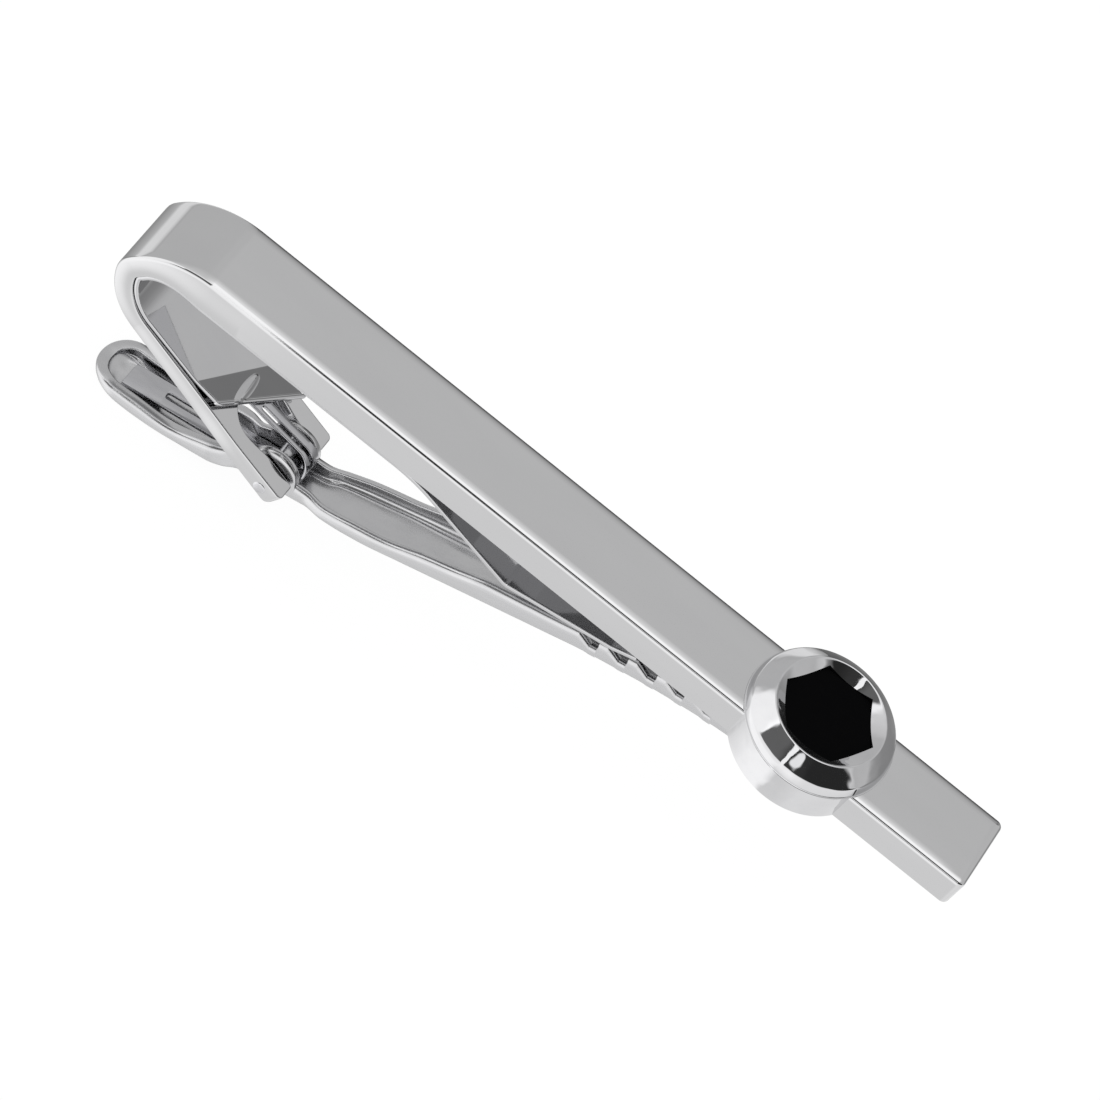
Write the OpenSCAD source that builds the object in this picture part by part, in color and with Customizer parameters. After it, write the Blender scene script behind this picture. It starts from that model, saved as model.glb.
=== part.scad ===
// Tie clip: a bright bar bent back in a hairpin, a sprung jaw lever, and a screw-head collar with a hexagon inlay

/* [Bar] */
// Overall length, from the hairpin's nose to the bar's end
bar_l = 59.7; // [54:0.1:75]
// Width of the bar
bar_w = 5.5; // [4.8:0.1:7]
// Thickness of the bar
bar_t = 2.4; // [1.8:0.1:3]
// Radius of the bar's end corners, seen from above
bar_corner_r = 0.8; // [0.3:0.1:1.5]

/* [Hairpin and leg] */
// Outer radius of the long upper bend
upper_bend_r = 5.9; // [5:0.1:7]
// Outer radius of the nose
nose_r = 1.93; // [1.7:0.01:2.4]
// Outer radius of the lower bend
lower_bend_r = 4.6; // [4:0.1:5.5]
// Angle turned in the upper bend
upper_bend_a = 60.2; // [56:0.2:64]
// Angle turned in the nose
nose_a = 38.2; // [34:0.2:42]
// Slope of the return leg
leg_slope = 22.6; // [20:0.2:25]
// Thickness of the strip round the nose
nose_t = 1.4; // [1.2:0.05:1.6]
// Thickness of the leg where it leaves the bend
leg_root_t = 1.15; // [1:0.05:1.4]
// Thickness of the leg at the fork
leg_tip_t = 1.4; // [1.2:0.05:1.7]
// Length of the leg from the bend to the hinge pin
leg_l = 12.05; // [11:0.05:13.5]
// Width across the fork
fork_w = 6; // [5.6:0.1:7]

/* [Fork and hinge] */
// Diameter of the hinge pin
pin_d = 0.9; // [0.7:0.02:1]
// Distance from the leg's underside to the pin's centre
pin_inset = 0.55; // [0.5:0.01:0.65]
// Length of the prongs past the pin
prong_past = 1.25; // [1.1:0.05:1.8]
// Rounding of the prongs' lower end corners
prong_end_r = 0.6; // [0.3:0.05:0.8]
// Rounding of the prongs' outer corners, seen on the flat
prong_corner_r = 0.35; // [0.2:0.05:0.5]
// Width of the slot between the prongs
slot_w = 3.24; // [3:0.02:3.6]
// Width of the slot's widened back end
slot_back_w = 3.8; // [3.4:0.02:4]
// Distance from the pin back to the slot's end
slot_back = 4.8; // [4:0.1:5]
// Running clearance of the lever on the pin, radial
pin_clear = 0.04; // [0.02:0.01:0.08]
// Side clearance between the lever's cheeks and the prongs
cheek_clear = 0.1; // [0.05:0.01:0.15]

/* [Lever] */
// Reach of the jaw from the pin
jaw_l = 32.6; // [29:0.1:38]
// Length of the thumb end from the pin
thumb_l = 12.75; // [11:0.05:13]
// Outer width of the thumb end
thumb_w = 4.2; // [3.8:0.1:5]
// Outer width of the jaw
jaw_w = 4.2; // [3.8:0.1:5]
// Height of the jaw's walls above the pin line
jaw_rise = 1.3; // [1:0.05:1.6]
// Depth of the jaw's floor below the pin line, at its deepest
jaw_drop = 1.8; // [1.6:0.05:2.1]
// Radius of the cheeks round the pin
cheek_r = 1.6; // [1.4:0.05:1.8]
// Rounding of the lever's lower edges
low_edge_r = 0.65; // [0.4:0.05:0.8]
// Thickness of the cheeks and walls
wall_t = 0.52; // [0.4:0.02:0.7]
// Thickness of the floor
floor_t = 0.42; // [0.35:0.01:0.5]
// Length of the jaw's tip that lies flat under the bar
tip_flat_l = 1.5; // [0.5:0.1:2.5]
// Gap between the closed jaw's tip and the bar
tip_gap = 0.05; // [0.02:0.01:0.2]
// Number of notches in each wall
notch_n = 5; // [3:1:6]
// Spacing of the notches
notch_pitch = 1.92; // [1.6:0.01:2.1]
// Depth of the notches
notch_depth = 0.72; // [0.5:0.02:1]
// Length of a notch along the wall's edge
notch_l = 1.35; // [1:0.05:1.5]
// Distance from the pin to the first notch
notch_start = 20.85; // [18:0.05:22]

/* [Lever spring] */
// Width of the spring strip
spring_w = 0.68; // [0.5:0.01:0.7]
// Thickness of the spring strip
spring_t = 0.25; // [0.2:0.01:0.3]
// Radius of the curl, at the middle of the strip
curl_r = 1.27; // [1.15:0.01:1.3]
// How far the curl's centre lies past the pin
curl_past = 0.3; // [0.2:0.05:0.4]
// How far the curl's centre lies above the pin
curl_above = 0.38; // [0.3:0.01:0.45]
// Gap between the two turns of the curl
turn_gap = 0.44; // [0.41:0.01:0.5]
// Reach of the lower arm towards the thumb end, from the pin
lower_arm_l = 9.9; // [7:0.1:10]
// Sideways place of the lower arm's end
lower_arm_side = 0.85; // [0.5:0.05:1]
// Reach of the upper arm back under the leaf, from the pin
upper_arm_l = 3.9; // [3.6:0.1:4.2]

/* [Leaf] */
// Thickness of the leaf strip
leaf_t = 0.3; // [0.2:0.01:0.35]
// Width of the leaf strip
leaf_w = 5.3; // [4:0.1:5.4]
// Distance from the nose to where the tongue leaves the bar
tongue_root = 19.45; // [16:0.1:22]
// Radius of the tongue's first curve
tongue_curve_r = 10; // [6:0.5:14]
// Slope of the tongue going down
tongue_drop_a = 17; // [12:0.5:18]
// Length of the straight part going down
tongue_drop_l = 6.4; // [5:0.1:7]
// Slope of the tongue coming back up
tongue_rise_a = 13.2; // [10:0.2:15]
// Length of the part coming back up
tongue_rise_l = 6.8; // [6:0.1:7]
// Slope of the tongue's last short part
tongue_end_a = 23.4; // [15:0.2:25]
// Length of the tongue's last short part
tongue_end_l = 1.55; // [1:0.05:1.6]
// Radius of the tongue's two creases
crease_r = 0.8; // [0.5:0.1:1.5]
// Length of the lower arm that lies on the leg
lower_leaf_l = 5.95; // [5.5:0.05:7]
// Length of the lifted lip after it, on the near side
lip_near_l = 0.55; // [0.4:0.05:1]
// Extra length of the lip on the far side
lip_slant_l = 3.7; // [2:0.1:4]
// Angle by which the lip lifts off the leg
lip_lift_a = 10; // [6:0.5:12]
// Clearance between the leaf and the inside of the hairpin
leaf_clear = 0.03; // [0.01:0.01:0.05]

/* [Collar and inlay] */
// Distance from the bar's end to the collar's centre
collar_back = 12.1; // [8:0.1:14]
// Outer diameter of the collar
collar_d = 9.56; // [8.6:0.02:11]
// Height of the collar's rim above the bar
rim_h = 1.62; // [1.4:0.02:2]
// Diameter of the collar's rim
rim_d = 7; // [6.6:0.02:7.6]
// Slope of the collar's cone
cone_a = 42; // [36:0.5:44]
// Rounding between the collar's wall and its cone
shoulder_r = 0.9; // [0.4:0.05:1.2]
// Rounding of the rim
rim_round = 0.12; // [0.05:0.01:0.2]
// Slope of the countersink inside the rim
sink_a = 33.7; // [28:0.1:38]
// Width across the flats of the hexagon
hex_af = 5.38; // [4.8:0.02:5.6]
// Thickness of the hexagon inlay
hex_t = 0.5; // [0.3:0.05:0.6]
// Clearance round the inlay and between the collar and the bar's sides
set_clear = 0.02; // [0.01:0.01:0.04]

/* [Hidden] */
$fn = 96;
over = 1;
arc_step = 4;

function dir(a) = [cos(a), sin(a)];
function left(a) = [-sin(a), cos(a)];
function lerp(a, b, t) = a + (b - a) * t;
function ease(t) = t <= 0 ? 0 : t >= 1 ? 1 : t * t * (3 - 2 * t);
function mirrored(p) = concat(p, [for (i = [len(p) - 1:-1:0]) [p[i][0], -p[i][1]]]);

// A path is a list of [x, z, heading]; turn() carries it on through an arc, on() through a straight run
function turn(p, r, a) =
    let (q = p[len(p) - 1], s = a < 0 ? -1 : 1, c = [q[0], q[1]] + s * r * left(q[2]),
         n = max(2, ceil(abs(a) / arc_step)))
    concat(p, [for (i = [1:n]) let (h = q[2] + a * i / n, e = c - s * r * left(h)) [e[0], e[1], h]]);
function on(p, l) =
    let (q = p[len(p) - 1], e = [q[0], q[1]] + l * dir(q[2]))
    concat(p, [[e[0], e[1], q[2]]]);
function beside(q, d) = [q[0], q[1]] + d * left(q[2]);

// Outer line of the hairpin, from the bar's top round the nose to the leg's underside
turn_total = 180 - leg_slope;
hairpin_raw = turn(turn(turn([[0, 0, 180]], upper_bend_r, upper_bend_a), nose_r, nose_a),
                   lower_bend_r, turn_total - upper_bend_a - nose_a);
nose_x = min([for (q = hairpin_raw) q[0]]);
hairpin = [for (q = hairpin_raw) [q[0] - nose_x, q[1], q[2]]];
leg_foot = hairpin[len(hairpin) - 1];
leg_dir = dir(-leg_slope);
leg_up = left(-leg_slope);
// The strip thins from the bar to the nose over the first share of the turn
thin_share = 0.36;
function strip_t(h) =
    let (u = (h - 180) / turn_total)
    u < thin_share ? lerp(bar_t, nose_t, ease(u / thin_share))
                   : lerp(nose_t, leg_root_t, (u - thin_share) / (1 - thin_share));
leg_full_l = leg_l + prong_past;
leg_end = [leg_foot[0], leg_foot[1]] + leg_full_l * leg_dir;
pin_at = [leg_foot[0], leg_foot[1]] + leg_l * leg_dir + pin_inset * leg_up;
// Line of the leg's inner face, from the bend to the prongs' ends
face_a = -leg_slope + atan2(leg_tip_t - leg_root_t, leg_full_l);
face_foot = beside(leg_foot, leg_root_t);
face_end = leg_end + leg_tip_t * leg_up;

// The lever closes until its tip meets the bar's underside
close_a = asin((-bar_t - tip_gap - pin_at[1]) / jaw_l);
function on_lever(p) = [p[0] * cos(close_a) - p[1] * sin(close_a), p[0] * sin(close_a) + p[1] * cos(close_a)];

// Lever outlines, along the jaw from the pin: shares of its reach and of its rise or drop
jaw_top_shares = [[0.066, -0.34], [0.103, -0.46], [0.17, -0.3], [0.241, -0.18], [0.323, 0.2], [0.383, 0.4],
                  [0.449, 0.68], [0.525, 0.76], [0.586, 0.82], [0.644, 0.9], [0.736, 0.92], [0.813, 0.86],
                  [0.883, 0.68]];
jaw_floor_shares = [[0.99, -0.67], [0.9, -0.47], [0.773, -0.31], [0.671, -0.3], [0.57, -0.41], [0.488, -0.52],
                    [0.386, -0.66], [0.281, -0.81], [0.18, -0.95], [0.077, -1]];
// Thumb outlines: shares of its length and of the cheeks' radius
thumb_under_shares = [[0.08, -1.08], [0.235, -1.08], [0.36, -1.05], [0.48, -1], [0.6, -0.93], [0.7, -0.8],
                      [0.81, -0.58], [0.89, -0.3], [0.96, 0.02], [1, 0.24]];
thumb_rim_shares = [[0.985, 0.36], [0.93, 0.38], [0.76, 0.13], [0.52, -0.25], [0.265, -0.64], [0.18, -0.5], [0.1, 0]];
function top_at(x) = lookup(x, concat(jaw_top, [[tip_x, tip_y], [jaw_l, 0]]));
tip_x = jaw_l - tip_flat_l * cos(close_a);
tip_y = tip_flat_l * sin(close_a);
jaw_top = [for (q = jaw_top_shares) [q[0] * jaw_l, q[1] * jaw_rise]];
jaw_floor = [for (q = jaw_floor_shares) [q[0] * jaw_l, q[1] * jaw_drop]];
thumb_under = [for (q = thumb_under_shares) [-q[0] * thumb_l, q[1] * cheek_r]];
thumb_rim = [for (q = thumb_rim_shares) [-q[0] * thumb_l, q[1] * cheek_r]];
lever_low = concat(jaw_floor, thumb_under);
lever_outline = concat([[tip_x, tip_y], [jaw_l, 0]], lever_low, thumb_rim,
                       [for (i = [0:len(jaw_top) - 1]) jaw_top[i]]);
rest_h = -pin_at[1] - min([for (q = lever_low) on_lever(q)[1]]);

// Half widths of the lever along its length: shares of the reach or length, then of the half width
cheek_w = slot_w - 2 * cheek_clear;
jaw_plan_shares = [[0.07, 0], [0.11, 0.55], [0.16, 0.85], [0.235, 1], [0.95, 1], [0.985, 0.92], [1, 0.75]];
thumb_plan_shares = [[0.17, 0], [0.25, 0.7], [0.32, 1], [0.78, 1]];
function jaw_half(s, in) = lerp(cheek_w / 2, jaw_w / 2, s) - in;
function thumb_half(s, in) = lerp(cheek_w / 2, thumb_w / 2, s) - in;
function thumb_round(in) =
    let (r = thumb_w / 2 - in, c = -thumb_l + thumb_w / 2)
    [for (a = [180:-arc_step * 2.5:90]) [c + r * cos(a), r * sin(a)]];

// The two arms of the spring are tangents to its curl
curl_at = pin_at + [curl_past, curl_above];
turn_side = (spring_w + turn_gap) / 2;
function floor_under(x) = lookup(x, [for (i = [len(thumb_under) - 1:-1:0]) thumb_under[i]]);
lower_end_on = on_lever([-lower_arm_l, floor_under(-lower_arm_l) + floor_t + spring_t / 2 + leaf_clear]);
lower_end = pin_at + lower_end_on;
leaf_fold = face_foot + lower_leaf_l * dir(face_a) + leaf_clear * left(face_a);
lip_a = face_a + lip_lift_a;
upper_end_x = pin_at[0] - upper_arm_l;
upper_end = [upper_end_x, leaf_fold[1] + (upper_end_x - leaf_fold[0]) * tan(lip_a) - spring_t / 2 - turn_gap / 4];
// Angle on the curl where the tangent from a point touches, side 1 above and -1 below
function touch(e, side) =
    let (d = e - curl_at, l = norm(d)) atan2(d[1], d[0]) - side * acos(curl_r / l);
low_touch = touch(lower_end, -1);
high_touch = touch(upper_end, 1) + 360;
curl_a = high_touch - low_touch;
curl_n = ceil(curl_a / (2 * arc_step));
// The strip crosses from the first turn to the second on the side away from the arms
cross_wait = 35;
cross_from = high_touch - 360 + cross_wait;
cross_to = low_touch + 360 - cross_wait;
function side_at(a) = lerp(-turn_side, turn_side, ease((a - cross_from) / (cross_to - cross_from)));
arm_n = 6;
function arm(e, s, a, y, i) =
    let (c = curl_at + curl_r * dir(a), p = lerp(e, c, i / arm_n), n = dir(a))
    [p[0], lerp(s, y, ease(i / arm_n)), p[1], n[0], n[1]];
spring_line = concat(
    [for (i = [0:arm_n - 1]) arm(lower_end, -lower_arm_side, low_touch, -turn_side, i)],
    [for (i = [0:curl_n]) let (a = low_touch + curl_a * i / curl_n, p = curl_at + curl_r * dir(a), n = dir(a))
        [p[0], side_at(a), p[1], n[0], n[1]]],
    [for (i = [arm_n - 1:-1:0]) arm(upper_end, turn_side, high_touch, turn_side, i)]);
spring_pts = [for (q = spring_line) for (k = [[-1, -1], [-1, 1], [1, 1], [1, -1]])
    [q[0] + k[0] * spring_t / 2 * q[3], q[1] + k[1] * spring_w / 2, q[2] + k[0] * spring_t / 2 * q[4]]];
spring_rings = len(spring_line);
// Least distance between the two turns, measured on the strip's corner points half a turn or more apart
half_turn_n = ceil(180 / (2 * arc_step));
spring_gap = min([for (i = [0:spring_rings - 1]) for (j = [i + half_turn_n:1:spring_rings - 1]) for (k = [0:3])
    for (m = [0:3]) norm(spring_pts[4 * i + k] - spring_pts[4 * j + m])]);
echo(spring_gap = spring_gap);

module place() {
    translate([-bar_l / 2, 0, rest_h]) children();
}

// A side outline given in x and z, as wide as w and centred on the middle plane
module side(pts, w) {
    rotate([90, 0, 0]) linear_extrude(height = w, center = true) polygon(pts);
}

module on_pin() {
    translate([pin_at[0], 0, pin_at[1]]) rotate([0, -close_a, 0]) children();
}

module cross_pin(r, w) {
    rotate([90, 0, 0]) cylinder(r = r, h = w, center = true);
}

// Bar with rounded end corners, seen from above
module bar_plan() {
    e = bar_l - bar_corner_r;
    y = bar_w / 2 - bar_corner_r;
    polygon(mirrored(concat([[-over, bar_w / 2]],
        [for (a = [90:-arc_step * 2.5:0]) [e + bar_corner_r * cos(a), y + bar_corner_r * sin(a)]])));
}

// Leg seen square to its own slope: it widens to the fork, and its outer corners are rounded
leg_wide_shares = [[-0.5, 0], [0, 0.15], [0.5, 0.6], [0.8, 1]];
module leg_plan() {
    e = leg_full_l - prong_corner_r;
    y = fork_w / 2 - prong_corner_r;
    polygon(mirrored(concat(
        [for (q = leg_wide_shares) [q[0] * leg_l, lerp(bar_w, fork_w, q[1]) / 2]],
        [for (a = [90:-15:0]) [e + prong_corner_r * cos(a), y + prong_corner_r * sin(a)]])));
}

// Slot between the prongs, wider and rounded at its back end
slot_shares = [[0.5, 1], [0.65, 0.85], [0.85, 0.4], [1.1, 0]];
module slot_plan() {
    r = slot_back_w / 2;
    polygon(mirrored(concat(
        [for (a = [180:-10:100]) [-slot_back + r + r * cos(a), r * sin(a)]],
        [for (q = slot_shares) [-slot_back + q[0] * slot_back_w, lerp(slot_w, slot_back_w, q[1]) / 2]],
        [[prong_past + over, slot_w / 2]])));
}

module clip_body() {
    bar_side = concat([[bar_l, -bar_t], [bar_l, 0]], [for (q = hairpin) [q[0], q[1]]],
        [for (i = [len(hairpin) - 1:-1:0]) beside(hairpin[i], strip_t(hairpin[i][2]))]);
    round_at = leg_end - prong_end_r * leg_dir + prong_end_r * leg_up;
    leg_side = concat([[leg_foot[0], leg_foot[1]]],
        [for (a = [0:15:90]) round_at + prong_end_r * (sin(a) * leg_dir - cos(a) * leg_up)],
        [face_end, face_foot]);
    color("silver") place() difference() {
        union() {
            intersection() {
                side(bar_side, bar_w);
                translate([0, 0, -rest_h]) linear_extrude(height = rest_h + over) bar_plan();
            }
            intersection() {
                side(leg_side, fork_w);
                translate([leg_foot[0], 0, leg_foot[1]]) rotate([0, leg_slope, 0])
                    translate([0, 0, -over]) linear_extrude(height = leg_tip_t + 2 * over) leg_plan();
            }
        }
        translate([pin_at[0], 0, pin_at[1]]) {
            rotate([0, leg_slope, 0]) translate([0, 0, -leg_tip_t - over])
                linear_extrude(height = 2 * (leg_tip_t + over)) slot_plan();
            cross_pin(pin_d / 2, fork_w + 2 * over);
        }
    }
}

module hinge_pin() {
    color("lightgray") place() translate([pin_at[0], 0, pin_at[1]]) cross_pin(pin_d / 2, fork_w);
}

// Half section of the collar: side wall, shoulder, cone, rounded rim and countersink
collar_at = bar_l - collar_back;
rim_r = rim_d / 2;
hex_corner_r = hex_af / 2 / cos(30);
hex_top = rim_h - (rim_r - hex_af / 2) * tan(sink_a);
hex_seat = hex_top - hex_t;
module collar_half() {
    wall_r = collar_d / 2;
    // The cone leaves the rim at its own slope and the shoulder meets the vertical wall
    edge_h = rim_h - (wall_r - rim_r) * tan(cone_a);
    s = shoulder_r * tan((90 - cone_a) / 2);
    c = [wall_r - shoulder_r, edge_h - s];
    polygon(concat([[0, -bar_t], [wall_r, -bar_t]],
        [for (a = [0:arc_step * 2:90 - cone_a]) c + shoulder_r * dir(a)],
        [[rim_r + rim_round, rim_h - rim_round * tan(cone_a)], [rim_r + rim_round / 2, rim_h - rim_round / 3],
         [rim_r, rim_h - rim_round / 4], [rim_r - rim_round / 2, rim_h - rim_round / 2],
         [rim_r - rim_round, rim_h - rim_round * tan(sink_a) - rim_round / 4],
         [hex_af / 3, hex_top - (hex_af / 2 - hex_af / 3) * tan(sink_a)], [0, hex_seat]]));
}

module collar() {
    color("gainsboro") place() translate([collar_at, 0, 0]) difference() {
        rotate_extrude() collar_half();
        // Saddle over the bar
        translate([-collar_d, -bar_w / 2 - set_clear, -bar_t - over])
            cube([2 * collar_d, bar_w + 2 * set_clear, bar_t + over]);
        // Hexagon socket, two of its flats along the bar
        translate([0, 0, hex_seat]) cylinder(r = hex_corner_r + set_clear, h = hex_t + rim_h, $fn = 6);
    }
}

module hex_inlay() {
    color("black") place() translate([collar_at, 0, hex_seat]) cylinder(r = hex_corner_r, h = hex_t, $fn = 6);
}

module lever() {
    high = cheek_r + jaw_rise + over;
    color("lightslategray") place() on_pin() difference() {
        intersection() {
            union() {
                side(lever_outline, thumb_w + jaw_w);
                cross_pin(cheek_r, cheek_w);
            }
            translate([0, 0, -high]) linear_extrude(height = 2 * high) lever_plan(0);
            low_edges(high);
        }
        // Channel between the walls and the dish of the thumb, down to the floor
        intersection() {
            side(concat([[jaw_l + over, high]],
                [[jaw_l + over, -jaw_floor_shares[0][1] * -jaw_drop + floor_t]],
                [for (q = lever_low) [q[0], q[1] + floor_t]], [[-thumb_l - over, high]]), thumb_w + jaw_w);
            translate([0, 0, -high]) linear_extrude(height = 2 * high) channel_plan();
        }
        // Notches in both walls
        for (i = [0:notch_n - 1]) {
            x = notch_start + i * notch_pitch;
            a = atan2(top_at(x + notch_l) - top_at(x), notch_l);
            translate([x, 0, top_at(x)]) rotate([0, -a, 0]) notch();
        }
        cross_pin(pin_d / 2 + pin_clear, 2 * fork_w);
    }
}

// Space above the lever's rounded lower edges: a section every step along it, from the thumb to the tip
low_line = [for (i = [len(lever_low) - 1:-1:0]) lever_low[i]];
half_line = concat([[-thumb_l, 0]], [for (q = thumb_round(0)) if (q[1] > 0) q],
    [for (i = [len(thumb_plan_shares) - 1:-1:0]) let (q = thumb_plan_shares[i]) [-q[0] * thumb_l, thumb_half(q[1], 0)]],
    [for (q = jaw_plan_shares) [q[0] * jaw_l, jaw_half(q[1], 0)]]);
edge_n = 44;
edge_corner_n = 5;
edge_skin = 0.02;
module low_edges(high) {
    r = low_edge_r;
    e = edge_skin;
    rings = [for (i = [0:edge_n]) let (
            x = lerp(-thumb_l - over, jaw_l + over, i / edge_n), b = lookup(x, low_line), h = max(r + e, lookup(x, half_line)),
            corner = [for (k = [0:edge_corner_n]) let (a = 90 * k / edge_corner_n)
                [h - r + (r + e) * cos(a), b + r - (r + e) * sin(a)]])
        concat([[x, h + e, high]], [for (q = corner) [x, q[0], q[1]]],
               [for (k = [edge_corner_n:-1:0]) [x, -corner[k][0], corner[k][1]]], [[x, -h - e, high]])];
    m = len(rings[0]);
    pts = [for (ring = rings) for (q = ring) q];
    faces = concat([[for (k = [m - 1:-1:0]) k]],
        [for (i = [0:edge_n - 1]) for (k = [0:m - 1]) for (t = [0, 1]) let (a = i * m + k, b = i * m + (k + 1) % m)
            t == 0 ? [a, b, b + m] : [a, b + m, a + m]],
        [[for (k = [0:m - 1]) edge_n * m + k]]);
    polyhedron(points = pts, faces = faces, convexity = 8);
}

// Lever seen from above: thumb end, cheeks and jaw
module lever_plan(in) {
    polygon(mirrored(concat(thumb_round(in),
        [for (i = [len(thumb_plan_shares) - 1:-1:0]) let (q = thumb_plan_shares[i])
            [-q[0] * thumb_l, thumb_half(q[1], in)]],
        [for (q = jaw_plan_shares) [q[0] * jaw_l, jaw_half(q[1], in)]])));
}

// The channel runs from the dish of the thumb, between the cheeks and out through the jaw's tip
module channel_plan() {
    dish_end = 0.24 * thumb_l;
    cheek_in = cheek_w / 2 - wall_t;
    polygon(mirrored(concat(thumb_round(wall_t),
        [[-dish_end - wall_t, thumb_w / 2 - wall_t], [-dish_end, cheek_in + wall_t / 2], [-dish_end + wall_t / 2, cheek_in]],
        [for (q = jaw_plan_shares) [q[0] * jaw_l, jaw_half(q[1], wall_t)]],
        [[jaw_l + over, jaw_half(0.75, wall_t)]])));
}

// A notch has a sloping front, a short bottom and a steep back; the cut starts a little above the wall's edge
notch_shares = [[-0.18, 0.3], [0.6, -1], [0.92, -1], [1.024, 0.3]];
module notch() {
    side([for (q = notch_shares) [q[0] * notch_l, q[1] * notch_depth]], jaw_w + 2 * over);
}

module lever_spring() {
    n = spring_rings;
    faces = concat([[0, 2, 1], [0, 3, 2]],
        [for (i = [0:n - 2]) for (k = [0:3]) for (t = [0, 1]) let (m = (k + 1) % 4)
            t == 0 ? [4 * i + k, 4 * i + 4 + m, 4 * i + 4 + k] : [4 * i + k, 4 * i + m, 4 * i + 4 + m]],
        [[4 * n - 4, 4 * n - 3, 4 * n - 2], [4 * n - 4, 4 * n - 2, 4 * n - 1]]);
    color("darkgray") place() polyhedron(points = spring_pts, faces = faces, convexity = 6);
}

// Face of the leaf that lies against the bar, the hairpin and the leg, from the tongue's end to the lip
tongue = on(turn(on(turn(on(turn([[tongue_root, -bar_t, 0]], tongue_curve_r, -tongue_drop_a),
    tongue_drop_l), crease_r, tongue_drop_a + tongue_rise_a), tongue_rise_l),
    crease_r, tongue_end_a - tongue_rise_a), tongue_end_l);
lip_l = lip_near_l + lip_slant_l;
leaf_back = concat(
    [for (i = [len(tongue) - 1:-1:0]) [tongue[i][0], tongue[i][1], tongue[i][2] + 180]],
    [for (q = hairpin) if (q[2] > 180) let (e = beside(q, strip_t(q[2]) + leaf_clear)) [e[0], e[1], q[2]]],
    [[leaf_fold[0], leaf_fold[1], 360 + face_a]],
    [[leaf_fold[0] + lip_l * cos(lip_a), leaf_fold[1] + lip_l * sin(lip_a), 360 + lip_a]]);
module leaf() {
    outline = concat([for (q = leaf_back) [q[0], q[1]]],
        [for (i = [len(leaf_back) - 1:-1:0]) beside(leaf_back[i], leaf_t)]);
    x0 = leaf_fold[0];
    color("whitesmoke") place() difference() {
        side(outline, leaf_w);
        // Slanting end of the lip
        translate([0, 0, -rest_h]) linear_extrude(height = rest_h + leaf_fold[1] + lip_l)
            polygon([[x0 + lip_near_l, -leaf_w / 2], [x0 + lip_l, leaf_w / 2], [x0 + lip_l, leaf_w],
                     [x0 + 2 * lip_l, leaf_w], [x0 + 2 * lip_l, -leaf_w],
                     [x0 + lip_near_l - lip_slant_l / 2, -leaf_w]]);
    }
}

clip_body();
collar();
hex_inlay();
lever();
lever_spring();
hinge_pin();
leaf();
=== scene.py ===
import bmesh
import bpy
import numpy as np
from mathutils import Matrix


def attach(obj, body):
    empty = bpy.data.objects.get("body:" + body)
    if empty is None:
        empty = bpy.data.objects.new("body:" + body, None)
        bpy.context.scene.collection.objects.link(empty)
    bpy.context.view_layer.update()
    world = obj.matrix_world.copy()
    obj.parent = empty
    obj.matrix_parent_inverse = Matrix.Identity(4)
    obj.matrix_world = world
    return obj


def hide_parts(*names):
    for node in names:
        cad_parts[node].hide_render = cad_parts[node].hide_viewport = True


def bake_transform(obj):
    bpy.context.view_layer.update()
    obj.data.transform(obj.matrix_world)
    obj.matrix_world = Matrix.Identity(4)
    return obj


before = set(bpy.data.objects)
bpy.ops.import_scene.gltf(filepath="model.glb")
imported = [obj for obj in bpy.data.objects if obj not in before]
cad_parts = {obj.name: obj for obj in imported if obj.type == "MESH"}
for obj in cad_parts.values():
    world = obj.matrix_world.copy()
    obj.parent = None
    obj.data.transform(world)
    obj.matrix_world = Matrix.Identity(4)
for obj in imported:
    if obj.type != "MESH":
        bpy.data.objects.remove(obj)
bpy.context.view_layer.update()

# Sizes shared by the pieces, in millimetres and degrees. x runs from the hairpin's nose, and z is 0 on
# the bar's top.
clip = {"barLength": 59.7, "barWidth": 5.5, "barThickness": 2.4, "restHeight": 15.7907,
        "pinX": 14.1395, "pinZ": -11.9067, "closeAngle": 16.863}


def toRow(x, y, z):
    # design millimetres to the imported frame's metres
    return np.stack(np.broadcast_arrays(x - clip["barLength"] / 2, y, z + clip["restHeight"]), -1) * 1e-3


def unit(deg):
    # unit vectors (cos a, sin a)
    a = np.radians(deg)
    return np.stack([np.cos(a), np.sin(a)], -1)


def leftOf(deg):
    # unit vectors a quarter turn to the left of the heading: (-sin a, cos a)
    a = np.radians(deg)
    return np.stack([-np.sin(a), np.cos(a)], -1)


def easeInOut(t):
    # 3t^2 - 2t^3, held at its ends
    t = np.clip(t, 0, 1)
    return t * t * (3 - 2 * t)


def smoothCurve(x, xs, ys):
    # Hermite curve through the points, with slopes that never overshoot them: at each point the harmonic
    # mean of the slopes beside it, and 0 where these differ in sign
    xs, ys = np.asarray(xs, float), np.asarray(ys, float)
    h, d = np.diff(xs), np.diff(ys) / np.diff(xs)
    m = np.zeros(len(xs))
    same = d[1:] * d[:-1] > 0
    w1, w2 = 2 * h[1:] + h[:-1], h[1:] + 2 * h[:-1]
    safe = np.where(same, d[1:] * d[:-1], 1.0)
    m[1:-1] = np.where(same, (w1 + w2) * safe / (w1 * d[1:] + w2 * d[:-1] + 1e-12 * ~same), 0)
    m[0], m[-1] = d[0], d[-1]
    x = np.clip(x, xs[0], xs[-1])
    i = np.clip(np.searchsorted(xs, x) - 1, 0, len(h) - 1)
    t = (x - xs[i]) / h[i]
    return ((1 + 2 * t) * (1 - t) ** 2 * ys[i] + t * (1 - t) ** 2 * h[i] * m[i]
            + t * t * (3 - 2 * t) * ys[i + 1] + t * t * (t - 1) * h[i] * m[i + 1])


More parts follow.
